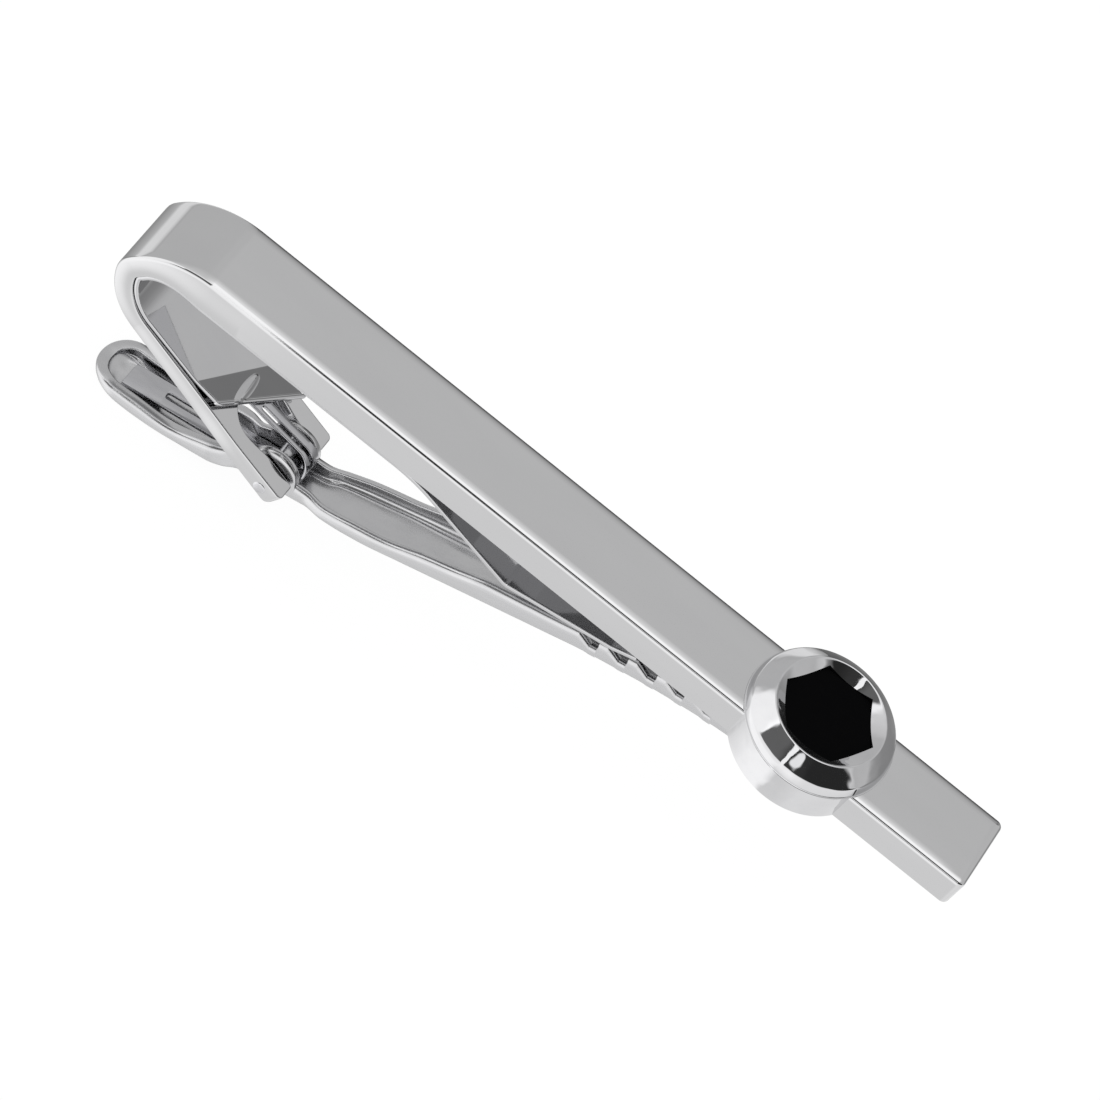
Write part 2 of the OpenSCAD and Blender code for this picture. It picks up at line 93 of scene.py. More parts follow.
def roundedSection(halfWidth, thickness, radius, steps=5, across=()):
    # loop round a rounded rectangle: four quarter arcs joined by flats, each flat cut at the shares in across
    a = np.radians(np.linspace(0, 90, steps + 1))
    s, c = np.sin(a), np.cos(a)
    cut = np.asarray(across, float)
    none, full = 0 * cut, 0 * cut + 1
    cy = np.concatenate([s, c, none, -s, -c, none])
    cd = np.concatenate([-c, s, full, c, -s, -full])
    sideY = np.concatenate([0 * a + 1, 0 * a + 1, cut, 0 * a - 1, 0 * a - 1, -cut])
    sideD = np.concatenate([0 * a, 0 * a + 1, full, 0 * a + 1, 0 * a, none])
    hw, t, r = (np.asarray(v, float)[..., None] for v in (halfWidth, thickness, radius))
    return sideY * (hw - r) + r * cy, r + sideD * (t - 2 * r) + r * cd


def edgeRun(thickness, radius, under, fade=0.0, steps=6):
    # half of a strip's section, from its top flat to its underside: a faint crown, the round edge, the
    # side, and the round under it. On each arc the inset is r(1 - sin a) and the depth r(1 - cos a), and
    # the edge goes on from the crown's slope
    t, r, low, fade = (np.asarray(v, float)[..., None] for v in (thickness, radius, under, fade))
    lean, big = np.radians(bar["crownAngle"]) * fade, bar["crownRadius"]
    crown = lean * np.linspace(0, 1, 5)[:-1]
    edge = lean + (np.pi / 2 - lean) * np.linspace(0, 1, steps + 1)
    below = np.linspace(0, np.pi / 2, steps + 1) + 0 * edge
    inset = [r * (1 - np.sin(lean)) + big * (np.sin(lean) - np.sin(crown)), r * (1 - np.sin(edge)),
             low * (1 - np.cos(below))]
    depth = [big * (1 - np.cos(crown)), big * (1 - np.cos(lean)) + r * (np.cos(lean) - np.cos(edge)),
             t - low + low * np.sin(below)]
    lead = np.broadcast_shapes(t.shape, r.shape, low.shape, fade.shape)[:-1]
    return tuple(np.concatenate([np.broadcast_to(v, lead + v.shape[-1:]) for v in part], -1)
                 for part in (inset, depth))


def placed(name, data):
    # a new object in the scene that shows the mesh, lamp or camera
    thing = bpy.data.objects.new(name, data)
    bpy.context.scene.collection.objects.link(thing)
    return thing


class Shell:
    # collects grids of points and flat faces, then becomes one closed mesh
    def __init__(self):
        self.points, self.faces, self.count = [], [], 0

    def add(self, grid):
        # keeps a grid of points and gives their numbers in the same grid
        grid = np.asarray(grid, float)
        self.points.append(grid.reshape(-1, 3))
        base = self.count
        self.count += grid.shape[0] * grid.shape[1]
        return base + np.arange(grid.shape[0] * grid.shape[1]).reshape(grid.shape[:2])

    def sheet(self, grid, wrapU=False, wrapV=False):
        # a quad between each four neighbouring points, closed round where wrapped
        ids = self.add(grid)
        a = np.concatenate([ids, ids[:1]]) if wrapU else ids
        a = np.concatenate([a, a[:, :1]], 1) if wrapV else a
        quads = np.stack([a[:-1, :-1], a[1:, :-1], a[1:, 1:], a[:-1, 1:]], -1).reshape(-1, 4)
        self.faces += quads.tolist()
        return ids

    def flat(self, ids):
        # one face through the points
        self.faces.append([int(i) for i in ids])

    def build(self, name, material, sharpAngle=40):
        # welds the points that coincide, turns the faces outward and marks the sharp edges
        mesh = bpy.data.meshes.new(name)
        mesh.from_pydata(np.concatenate(self.points).tolist(), [], self.faces)
        work = bmesh.new()
        work.from_mesh(mesh)
        bmesh.ops.remove_doubles(work, verts=work.verts, dist=4e-7)
        bmesh.ops.dissolve_degenerate(work, edges=work.edges, dist=2e-7)
        bmesh.ops.recalc_face_normals(work, faces=work.faces)
        loose = sum(1 for e in work.edges if len(e.link_faces) != 2)
        work.to_mesh(mesh)
        work.free()
        mesh.shade_smooth()
        mesh.set_sharp_from_angle(angle=np.radians(sharpAngle))
        piece = placed(name, mesh)
        mesh.materials.append(material)
        weighted = piece.modifiers.new("flatShading", "WEIGHTED_NORMAL")
        weighted.keep_sharp = True
        weighted.weight = 50
        print(name, len(mesh.polygons), "faces, open edges", loose)
        return piece


def linearColour(code):
    # sRGB hex to linear: v / 12.92 below 0.04045, else ((v + 0.055) / 1.055) ^ 2.4
    v = np.array([int(code[i:i + 2], 16) for i in (1, 3, 5)]) / 255
    v = np.where(v <= 0.04045, v / 12.92, ((v + 0.055) / 1.055) ** 2.4)
    return (*v.tolist(), 1.0)


def addNode(tree, kind, settings=None, links=None):
    # a node with its attributes or socket values, and its inputs linked from other nodes' outputs
    node = tree.nodes.new(kind)
    for key, value in (settings or {}).items():
        if isinstance(key, str) and hasattr(node, key):
            setattr(node, key, value)
        else:
            node.inputs[key].default_value = value
    for key, source in (links or {}).items():
        tree.links.new(source, node.inputs[key])
    return node


def emptyTree(owner):
    # the node tree of a material or the world, cleared
    owner.use_nodes = True
    owner.node_tree.nodes.clear()
    return owner.node_tree


def rampStops(ramp, stops):
    # places and linear greys of a colour ramp
    while len(ramp.color_ramp.elements) < len(stops):
        ramp.color_ramp.elements.new(0.5)
    for element, (place, grey) in zip(ramp.color_ramp.elements, stops):
        element.position = place
        element.color = (grey, grey, grey, 1)


def platedMetal(name, look):
    # plated metal: the plating's own grey, a faint cloudiness from polishing, and a shallow waviness that
    # shows only in what the metal mirrors
    material = bpy.data.materials.new(name)
    tree = emptyTree(material)
    place = addNode(tree, "ShaderNodeTexCoord").outputs["Object"]
    stretch = addNode(tree, "ShaderNodeMapping", {"Scale": look["stretch"]}, {"Vector": place}).outputs[0]
    perMetre = 1000 / look["cloudSize"]
    cloud = addNode(tree, "ShaderNodeTexNoise", {"Scale": perMetre, "Detail": 3.0}, {"Vector": stretch})
    tint = addNode(tree, "ShaderNodeMix", {"data_type": "RGBA", 6: linearColour(look["colour"]),
                                           7: linearColour(look["shade"])}, {0: cloud.outputs[0]})
    smooth, dull = look["roughness"]
    rough = addNode(tree, "ShaderNodeMapRange", {"From Min": 0.3, "From Max": 0.7, "To Min": smooth,
                                                 "To Max": dull}, {"Value": cloud.outputs[0]})
    wave = addNode(tree, "ShaderNodeTexNoise", {"Scale": 1000 / look["waveSize"], "Detail": 1.0},
                   {"Vector": stretch})
    bump = addNode(tree, "ShaderNodeBump", {"Strength": 1.0, "Distance": look["waveDepth"] * 1e-3},
                   {"Height": wave.outputs[0]})
    shader = addNode(tree, "ShaderNodeBsdfPrincipled", {"Metallic": 1.0},
                     {"Base Color": tint.outputs[2], "Roughness": rough.outputs[0],
                      "Normal": bump.outputs[0]})
    addNode(tree, "ShaderNodeOutputMaterial", {}, {"Surface": shader.outputs[0]})
    return material


print("materials")
metalLooks = {
    # rhodium-bright plating on a polished bar: nearly a mirror, a neutral grey
    "polishedRhodiumPlate": {"colour": "#d2d2d3", "shade": "#cbcbcc", "cloudSize": 2.5,
                             "stretch": (0.25, 1, 1), "roughness": (0.035, 0.06), "waveSize": 6.0,
                             "waveDepth": 0.002},
    # the same plating on a turned and hand-buffed collar: uneven enough to bend what it mirrors
    "turnedRhodiumPlate": {"colour": "#d4d4d5", "shade": "#c9c9cb", "cloudSize": 1.2, "stretch": (1, 1, 1),
                           "roughness": (0.03, 0.06), "waveSize": 1.1, "waveDepth": 0.035},
    # pressed lever: plating over drawn sheet that isn't polished first, so softer, with waves along it
    "pressedBrassPlated": {"colour": "#cfcfd0", "shade": "#c2c2c4", "cloudSize": 0.8, "stretch": (0.2, 1, 1),
                           "roughness": (0.16, 0.28), "waveSize": 0.9, "waveDepth": 0.012},
    # spring leaf: rolled strip, bright, straight
    "rolledSpringLeaf": {"colour": "#cdcdce", "shade": "#c4c4c6", "cloudSize": 2.0, "stretch": (0.2, 1, 1),
                         "roughness": (0.04, 0.07), "waveSize": 5.0, "waveDepth": 0.002},
    # curled spring strip: drawn steel, faint lines along it
    "drawnSpringSteel": {"colour": "#c8c8ca", "shade": "#b4b4b8", "cloudSize": 0.4, "stretch": (0.3, 1, 0.3),
                         "roughness": (0.08, 0.16), "waveSize": 0.5, "waveDepth": 0.003},
    # cut end of the rivet: sheared steel, duller than the plating
    "shearedRivetSteel": {"colour": "#d6d6d7", "shade": "#bcbcc0", "cloudSize": 0.25, "stretch": (1, 1, 1),
                          "roughness": (0.12, 0.22), "waveSize": 0.3, "waveDepth": 0.004},
}
metals = {name: platedMetal(name, look) for name, look in metalLooks.items()}

# poured enamel, rubbed flat
enamelLook = {"colour": "#020203", "speck": "#050506", "speckSize": 0.5, "roughness": 0.5, "specular": 0.03,
              "peelDepth": 0.001}


def blackEnamel(name, look):
    # deep black with hardly any gloss, specks of a lighter black and a faint orange peel
    material = bpy.data.materials.new(name)
    tree = emptyTree(material)
    place = addNode(tree, "ShaderNodeTexCoord").outputs["Object"]
    speck = addNode(tree, "ShaderNodeTexNoise", {"Scale": 1000 / look["speckSize"], "Detail": 2.0},
                    {"Vector": place})
    tint = addNode(tree, "ShaderNodeMix", {"data_type": "RGBA", 6: linearColour(look["colour"]),
                                           7: linearColour(look["speck"])}, {0: speck.outputs[0]})
    bump = addNode(tree, "ShaderNodeBump", {"Strength": 1.0, "Distance": look["peelDepth"] * 1e-3},
                   {"Height": speck.outputs[0]})
    shader = addNode(tree, "ShaderNodeBsdfPrincipled", {"Roughness": look["roughness"],
                                                        "Specular IOR Level": look["specular"]},
                     {"Base Color": tint.outputs[2], "Normal": bump.outputs[0]})
    addNode(tree, "ShaderNodeOutputMaterial", {}, {"Surface": shader.outputs[0]})
    return material


enamel = blackEnamel("pouredBlackEnamel", enamelLook)


hairpin = {"bendRadii": (5.9, 1.93, 4.6), "bendAngles": (60.2, 38.2), "legSlope": 22.6, "noseX": -5.37486,
           "noseT": 1.4, "legRootT": 1.15, "legTipT": 1.4, "thinShare": 0.36, "legLength": 12.05}
bar = {"cornerRadius": 0.45, "edgeRound": 0.27, "innerRound": 0.08, "crownRadius": 3.2, "crownAngle": 9.0,
       "joinX": 8.0}
fork = {"width": 6.0, "rootWidth": 5.575, "pinPast": 1.25, "endRound": 0.6, "outerCorner": 0.35,
        "innerCorner": 0.2, "edgeRound": 0.12, "slotWidth": 3.24, "slotBackWidth": 3.8, "slotBack": 4.8,
        "slotNarrow": 0.62, "widenAt": [0, 0.5, 0.8, 1.2], "widen": [0.15, 0.6, 1, 1]}
turnTotal = 180 - hairpin["legSlope"]
bendAngles = (*hairpin["bendAngles"], turnTotal - sum(hairpin["bendAngles"]))


def hairpinLine(step=1.5):
    # three tangent arcs: each centre lies one radius to the left of the heading
    at, heading, line = np.array([-hairpin["noseX"], 0.0]), 180.0, []
    for radius, angle in zip(hairpin["bendRadii"], bendAngles):
        centre = at + radius * leftOf(heading)
        h = heading + np.linspace(0, angle, int(np.ceil(angle / step)) + 1)
        p = centre - radius * leftOf(h)
        line.append(np.column_stack([p, h])[(1 if line else 0):])
        at, heading = p[-1], heading + angle
    return np.concatenate(line)


def stripThickness(heading):
    # by the angle turned so far: eases from the bar's thickness to the nose's, then falls evenly to the leg's
    u = (heading - 180) / turnTotal
    k = hairpin["thinShare"]
    thin = barThickness + (hairpin["noseT"] - barThickness) * easeInOut(u / k)
    back = hairpin["noseT"] + (hairpin["legRootT"] - hairpin["noseT"]) * (u - k) / (1 - k)
    return np.where(u < k, thin, back)


barThickness = clip["barThickness"]
bend = hairpinLine()
legFoot = bend[-1, :2]
legDir, legUp = unit(-hairpin["legSlope"]), leftOf(-hairpin["legSlope"])
legFull = hairpin["legLength"] + fork["pinPast"]


def legPoint(s, y, d):
    # s along the leg's underside, d square to it
    p = legFoot + s[..., None] * legDir + d[..., None] * legUp
    return toRow(p[..., 0], y, p[..., 1])


def outlineWall(outline, normals, thickness, radius, steps=6):
    # a rounded edge carried round a plan outline: point = outline - inset * normal, with its depth
    everywhere = np.broadcast_to(np.asarray(thickness, float), (len(outline),))
    inset, depth = edgeRun(everywhere, radius, radius, 0.0, steps)
    return outline[:, None, :] - inset[..., None] * normals[:, None, :], depth


def arcPoints(centre, radius, fromDeg, toDeg, n):
    # centre + r (cos a, sin a), with the directions outward
    h = np.linspace(fromDeg, toDeg, n)
    return np.asarray(centre) + radius * unit(h), unit(h)


def clipBody():
    # the bar is a slab with a rounded outline, the bend its section carried round three arcs, and the leg
    # a second slab; they are welded where their sections meet
    shell = Shell()
    halfW = clip["barWidth"] / 2
    # free part of the bar, a slab: its corners are quarter arcs, and mitres where the edge is wider than
    # their radius
    rc, far = bar["cornerRadius"], clip["barLength"]
    run = np.linspace(bar["joinX"], far - rc, 30)[:-1, None]
    inset, depth = edgeRun(barThickness, bar["edgeRound"], bar["innerRound"], 1.0)
    past = np.maximum(inset, rc)
    turn = unit(np.linspace(90, 0, 13))[:, None, :]
    side = np.stack([np.minimum(run, far - past), halfW - inset + 0 * run], -1)
    corner = np.stack([far - past, halfW - past], -1) + np.maximum(rc - inset, 0)[:, None] * turn
    near = np.concatenate([side, corner])
    p = np.concatenate([near, near[::-1] * [1, -1]])
    ids = shell.sheet(toRow(p[..., 0], p[..., 1], -depth))
    shell.flat(ids[:, 0])
    shell.flat(ids[::-1, -1])
    # bend: the same section carried along the three arcs, its crown fading out
    lead = np.linspace(bar["joinX"], bend[0, 0], 12)[:-1]
    line = np.concatenate([np.column_stack([lead, 0 * lead, 0 * lead + 180]), bend])
    heading = line[:, 2]
    u = easeInOut((heading - 180) / turnTotal)
    half = halfW + (fork["rootWidth"] - clip["barWidth"]) / 2 * u
    outerRound = bar["edgeRound"] + (fork["edgeRound"] - bar["edgeRound"]) * u
    innerRound = bar["innerRound"] + (fork["edgeRound"] - bar["innerRound"]) * u
    inset, depth = edgeRun(stripThickness(heading), outerRound, innerRound, 1 - u)
    y = np.concatenate([half[:, None] - inset, inset[:, ::-1] - half[:, None]], 1)
    d = np.concatenate([depth, depth[:, ::-1]], 1)
    q = line[:, None, :2] + d[..., None] * leftOf(heading)[:, None, :]
    shell.sheet(toRow(q[..., 0], y, q[..., 1]), wrapV=True)
    # leg and fork: a slab with the slot in its outline
    full, ro, ri = legFull, fork["outerCorner"], fork["innerCorner"]
    bent = full - fork["endRound"]
    stations, steps = 36, 8
    s1 = np.concatenate([np.linspace(0, bent, stations), np.linspace(bent, full - ro, 5)[1:-1]])
    wide = smoothCurve(s1 / hairpin["legLength"], fork["widenAt"], fork["widen"])
    w1 = (clip["barWidth"] + (fork["width"] - clip["barWidth"]) * wide) / 2
    slope = -np.gradient(w1, s1)
    n1 = np.column_stack([slope, np.ones(len(s1))])
    n1 /= np.linalg.norm(n1, axis=1)[:, None]
    oc, ocN = arcPoints((full - ro, fork["width"] / 2 - ro), ro, 90, 0, steps)
    ic, icN = arcPoints((full - ri, fork["slotWidth"] / 2 + ri), ri, 0, -90, steps)
    s2 = np.concatenate([np.linspace(full - ri, bent, 5)[1:-1], [bent]])
    back = hairpin["legLength"] - fork["slotBack"]
    rb = fork["slotBackWidth"] / 2
    s3 = np.linspace(bent, back + rb, 40)[1:]
    narrow = hairpin["legLength"] - fork["slotNarrow"]
    g = easeInOut((narrow - s3) / (narrow - back - rb))
    w3 = (fork["slotWidth"] + (fork["slotBackWidth"] - fork["slotWidth"]) * g) / 2
    n3 = np.column_stack([np.gradient(w3, s3), -np.ones(len(s3))])
    n3 /= np.linalg.norm(n3, axis=1)[:, None]
    rear, rearN = arcPoints((back + rb, 0), rb, 90, 180, 24)
    outline = np.concatenate([np.column_stack([s1, w1]), oc, ic,
                              np.column_stack([s2, np.full(len(s2), fork["slotWidth"] / 2)]),
                              np.column_stack([s3[:-1], w3[:-1]]), rear])
    normals = np.concatenate([n1, ocN, icN, np.tile([0.0, -1.0], (len(s2), 1)), n3[:-1], -rearN])
    count = len(outline)
    firstBent, prongEnd, lastBent = stations - 1, len(s1) + steps, len(s1) + 2 * steps + len(s2) - 1
    outline = np.concatenate([outline, outline[-2::-1] * [1, -1]])
    normals = np.concatenate([normals, normals[-2::-1] * [1, -1]])
    normals[0], normals[-1] = (0, 1), (0, -1)
    t = hairpin["legRootT"] + (hairpin["legTipT"] - hairpin["legRootT"]) * outline[:, 0] / full
    p, d = outlineWall(outline, normals, t, fork["edgeRound"])
    t2 = hairpin["legRootT"] + (hairpin["legTipT"] - hairpin["legRootT"]) * p[..., 0] / full
    d = d * t2 / t[:, None]
    er = fork["endRound"]
    lift = er - np.sqrt(np.maximum(er ** 2 - np.clip(p[..., 0] - bent, 0, er) ** 2, 0))
    d = lift + d * (t2 - lift) / t2
    ids = shell.sheet(legPoint(p[..., 0], p[..., 1], d))
    shell.flat(ids[:, -1])
    mirrorId = len(outline) - 1 - np.arange(count)
    for take in (np.arange(count), mirrorId):
        outer, inner = take[firstBent:prongEnd], take[prongEnd:lastBent + 1][::-1]
        n = min(len(outer), len(inner))
        outer, inner = outer[-n:], inner[-n:]
        shell.faces += np.stack([ids[outer[:-1], 0], ids[inner[:-1], 0], ids[inner[1:], 0],
                                 ids[outer[1:], 0]], -1).tolist()
    keep = [i for i in range(len(outline))
            if not (firstBent < i < lastBent or firstBent < len(outline) - 1 - i < lastBent)]
    shell.flat(ids[keep[::-1], 0])
    return shell.build("clipBody", metals["polishedRhodiumPlate"])


leaf = {"thickness": 0.3, "width": 5.3, "edgeRound": 0.07, "rootX": 19.45, "rootCurve": 10.0,
        "dropAngle": 17.0, "dropLength": 6.4, "riseAngle": 13.2, "riseLength": 6.8, "endAngle": 23.4,
        "endLength": 1.55, "endFine": 0.09, "creaseRadius": 0.8, "lowerLength": 5.95, "lipNear": 0.55,
        "lipSlant": 3.7, "lipLift": 10.0, "clear": 0.03, "foldSkew": 0.56, "foldRound": 0.7,
        "ribFrom": -1.75, "ribTo": 1.15, "ribWidth": 0.34, "ribHeight": 0.2, "ribAt": 1.15,
        "beadRound": 0.21, "leastRound": 0.004}


def arcOn(line, radius, angle, n):
    # goes on from the line's end along a tangent arc, to the left where the angle is positive
    at, heading = line[-1][:2], line[-1][2]
    side = np.sign(angle)
    centre = at + side * radius * leftOf(heading)
    h = heading + np.linspace(0, angle, n)[1:]
    return np.concatenate([line, np.column_stack([centre - side * radius * leftOf(h), h])])


def straightOn(line, length, n=2):
    # goes on from the line's end along its heading
    run = np.linspace(0, length, n)[1:, None]
    return np.concatenate([line, np.column_stack([line[-1][:2] + run * unit(line[-1][2]),
                                                  np.full(n - 1, line[-1][2])])])


faceAngle = -hairpin["legSlope"] + np.degrees(np.arctan2(hairpin["legTipT"] - hairpin["legRootT"], legFull))
faceFoot = legFoot + hairpin["legRootT"] * legUp


def leafPiece():
    # one rounded section carried along arcs and straights: the tongue, the crease, the bar's root, the
    # inside of the hairpin, and the lower run to the lip
    k = leaf
    tipSteps = 7
    tongue = np.array([[k["rootX"], -barThickness, 0.0]])
    tongue = arcOn(tongue, k["rootCurve"], -k["dropAngle"], 14)
    tongue = straightOn(tongue, k["dropLength"], 6)
    tongue = arcOn(tongue, k["creaseRadius"], k["dropAngle"] + k["riseAngle"], 12)
    tongue = straightOn(tongue, k["riseLength"], 6)
    tongue = arcOn(tongue, k["creaseRadius"], k["endAngle"] - k["riseAngle"], 5)
    tongue = straightOn(tongue, k["endLength"] - k["endFine"], 3)
    tongue = np.concatenate([tongue, straightOn(tongue[-1:], k["endFine"], tipSteps)[1:]])
    upper = tongue[::-1] + [0, 0, 180]
    inside = bend[:, :2] + (stripThickness(bend[:, 2]) + k["clear"])[:, None] * leftOf(bend[:, 2])
    around = np.column_stack([inside, bend[:, 2]])[1:]
    line = np.concatenate([upper, around])
    # the lower run lies on the leg's face and ends in the lip, so its stations also depend on y
    # the lip's free edge is rolled to a bead: half thickness R sin a at R(1 - cos a) from the end
    bead = np.radians(np.linspace(180 - np.degrees(np.arcsin(k["thickness"] / 2 / k["beadRound"])), 3, 14))
    share = np.concatenate([np.linspace(0, 1, 90)[1:-1], np.ones(len(bead))])
    half, t, r = k["width"] / 2, k["thickness"], k["edgeRound"]
    headings = np.concatenate([line[:, 2], np.full(len(share), 360 + faceAngle)])
    a = np.radians(np.linspace(0, 90, tipSteps))
    shrink, back = np.zeros(len(headings)), np.zeros(len(share))
    shrink[-len(bead):] = t / 2 - k["beadRound"] * np.sin(bead)
    back[-len(bead):] = k["beadRound"] * (1 - np.cos(bead))
    shrink[:tipSteps] = (r * (1 - np.cos(a)))[::-1]
    y, d = roundedSection(half - shrink, t - 2 * shrink, np.maximum(r - shrink, k["leastRound"]), 4,
                          np.linspace(1, -1, 82)[1:-1])
    d = d + shrink[:, None]
    base = np.concatenate([line[:, :2], np.tile(line[-1, :2], (len(share), 1))])
    q = base[:, None, :] + d[..., None] * leftOf(headings)[:, None, :]
    yLip, tail = y[-len(share):], len(share)
    lipA = np.radians(k["lipLift"])
    start = np.linalg.norm(line[-1, :2] - faceFoot - k["clear"] * leftOf(faceAngle))
    lipEnd = k["lowerLength"] + (k["lipNear"] + k["lipSlant"] * (yLip + half) / k["width"])
    go = start + share[:, None] * (lipEnd - start - back[len(share) - len(bead)]) * (share[:, None] < 1)
    go = np.where(share[:, None] < 1, go, lipEnd - back[:, None])
    fold = k["lowerLength"] + k["foldSkew"] * yLip
    over = go - fold
    # past the fold the strip rises at the lip's angle, round a soft corner:
    # height = tan(a) (x + sqrt(x^2 + r^2)) / 2
    rise = np.tan(lipA) * (over + np.sqrt(over ** 2 + (k["foldRound"] * np.sin(lipA)) ** 2)) / 2
    along = (yLip - k["ribFrom"]) / (k["ribTo"] - k["ribFrom"])
    pinch = np.sqrt(np.clip(4 * along * (1 - along), 0, 1)) + 1e-3
    rib = np.clip(1 - np.abs(go - k["lowerLength"] - k["ribAt"]) / (k["ribWidth"] * pinch), 0, 1)
    lift = rise + k["ribHeight"] * easeInOut(rib) * pinch * (along > 0) * (along < 1) * (d[-tail:] > t / 2)
    shift = (go - start)[..., None] * unit(faceAngle) + lift[..., None] * leftOf(faceAngle)
    q[-tail:] += shift
    shell = Shell()
    ids = shell.sheet(toRow(q[..., 0], y, q[..., 1]), wrapV=True)
    shell.flat(ids[0])
    shell.flat(ids[-1, ::-1])
    return shell.build("leaf", metals["rolledSpringLeaf"])


collar = {"centreX": 47.6, "diameter": 9.56, "rimHeight": 1.62, "rimDiameter": 7.0, "coneSlope": 42.0,
          "shoulder": 0.9, "rimRound": 0.12, "bulge": 0.07, "sinkSlope": 33.7, "hexFlats": 5.38,
          "hexDepth": 0.5, "clear": 0.02, "hexCorner": 0.05, "hexEdge": 0.03}
sinkWidth = collar["rimDiameter"] / 2 - collar["hexFlats"] / 2
hexTop = collar["rimHeight"] - sinkWidth * np.tan(np.radians(collar["sinkSlope"]))


def hexReach(phi, halfFlats):
    # distance from the centre to a hexagon's side, two of its sides along x
    return halfFlats / np.cos(np.radians(np.mod(phi, 60) - 30))


def collarPiece():
    # a profile of radius and height turned about the collar's middle, cut to a saddle over the bar
    k = collar
    wall, rim = k["diameter"] / 2, k["rimDiameter"] / 2
    cone, sink = np.radians(k["coneSlope"]), np.radians(k["sinkSlope"])
    side = clip["barWidth"] / 2 + k["clear"]
    cut = np.degrees(np.arcsin(side / wall))
    saddle = [cut, 180 - cut, 180 + cut, 360 - cut]
    phi = np.unique(np.round(np.concatenate([np.arange(0, 360, 1.5), saddle]), 6))
    # profile from the bar's top up the wall, over the shoulder, the cone and the rounded rim
    edgeH = k["rimHeight"] - (wall - rim) * np.tan(cone)
    s = k["shoulder"] * np.tan((np.pi / 2 - cone) / 2)
    a = np.linspace(0, np.pi / 2 - cone, 14)
    shoulderR = wall - k["shoulder"] + k["shoulder"] * np.cos(a)
    shoulderZ = edgeH - s + k["shoulder"] * np.sin(a)
    rr = k["rimRound"]
    b = np.linspace(np.pi / 2 - cone, np.pi / 2 + sink, 8)
    reach = rr * np.tan((cone + sink) / 2)
    centreR = rim + reach * np.cos(cone) - rr * np.sin(cone)
    centreZ = k["rimHeight"] - reach * np.sin(cone) - rr * np.cos(cone)
    rimR, rimZ = centreR + rr * np.cos(b), centreZ + rr * np.sin(b)
    # the wall swells a little between its foot and the shoulder
    wallShare = np.linspace(0, 1, 8)
    wallR = wall - k["bulge"] * (2 * wallShare - 1) ** 2
    wallZ = wallShare * (edgeH - s)
    shoulderR = shoulderR - k["bulge"] * np.cos(a) ** 2
    r = np.concatenate([wallR[:-1], shoulderR, rimR])
    z = np.concatenate([wallZ[:-1], shoulderZ, rimZ])
    rings, done = 9, len(r)
    grid = np.zeros((len(phi), done + rings + 3, 2))
    grid[:, :done, 0], grid[:, :done, 1] = r, z
    # countersink from the rim to the hexagon, then the hexagon's own short wall at three levels
    hexR = hexReach(phi, k["hexFlats"] / 2 + k["clear"])
    t = np.linspace(0, 1, rings + 1)[1:]
    sinkR = rimR[-1] + (hexR[:, None] - rimR[-1]) * t
    grid[:, done:done + rings, 0] = sinkR
    grid[:, done:done + rings, 1] = rimZ[-1] - (rimR[-1] - sinkR) * np.tan(sink)
    grid[:, done + rings:, 0] = hexR[:, None]
    grid[:, done + rings:, 1] = hexTop - np.array([0.05, 0.2, k["hexDepth"]])
    u = unit(phi)
    shell = Shell()

    def place(radius, height, direction):
        # radius and height from the collar's middle, in the given direction
        return toRow(k["centreX"] + radius * direction[..., 0], radius * direction[..., 1], height)

    ids = shell.sheet(place(grid[..., 0], grid[..., 1], u[:, None, :]), wrapU=True)
    shell.flat(ids[:, -1])
    # roof of the saddle, on the bar's top
    over = np.where((phi <= cut + 1e-6) | (phi >= 360 - cut - 1e-6))[0]
    first = np.concatenate([over[phi[over] > 180], over[phi[over] < 180]])
    second = np.where((phi >= 180 - cut - 1e-6) & (phi <= 180 + cut + 1e-6))[0]
    shell.flat(ids[np.concatenate([first, second]), 0])
    # the two cheeks beside the bar
    for lo, hi in ((cut, 180 - cut), (180 + cut, 360 - cut)):
        part = np.where((phi >= lo - 1e-6) & (phi <= hi + 1e-6))[0]
        levels = np.array([0.0, -0.8, -1.6, -barThickness])
        foot = np.full((len(part), 4), wall - k["bulge"])
        wallIds = shell.sheet(place(foot, levels[None, :], u[part][:, None, :]))
        shell.flat(wallIds[:, -1])
        ends = [wallIds[0, i] for i in range(4)] + [wallIds[-1, i] for i in range(3, -1, -1)]
        shell.flat(ends)
    return shell.build("collar", metals["turnedRhodiumPlate"], 34)


def hexInlay():
    # a hexagon with softened corners and edges, lying in the collar's socket
    k = collar
    phi = np.arange(0, 360, 60.0)
    corner, soft = k["hexFlats"] / 2 / np.cos(np.pi / 6), k["hexCorner"]
    h = (phi[:, None] + np.linspace(-30, 30, 5)).ravel()
    centres = np.repeat(unit(phi) * (corner - soft / np.cos(np.pi / 6)), 5, 0)
    outline, normals = centres + soft * unit(h), unit(h)
    p, d = outlineWall(outline, normals, k["hexDepth"], k["hexEdge"], 3)
    shell = Shell()
    ids = shell.sheet(toRow(k["centreX"] + p[..., 0], p[..., 1], hexTop - d), wrapU=True)
    shell.flat(ids[:, 0])
    shell.flat(ids[::-1, -1])
    return shell.build("hexInlay", enamel)


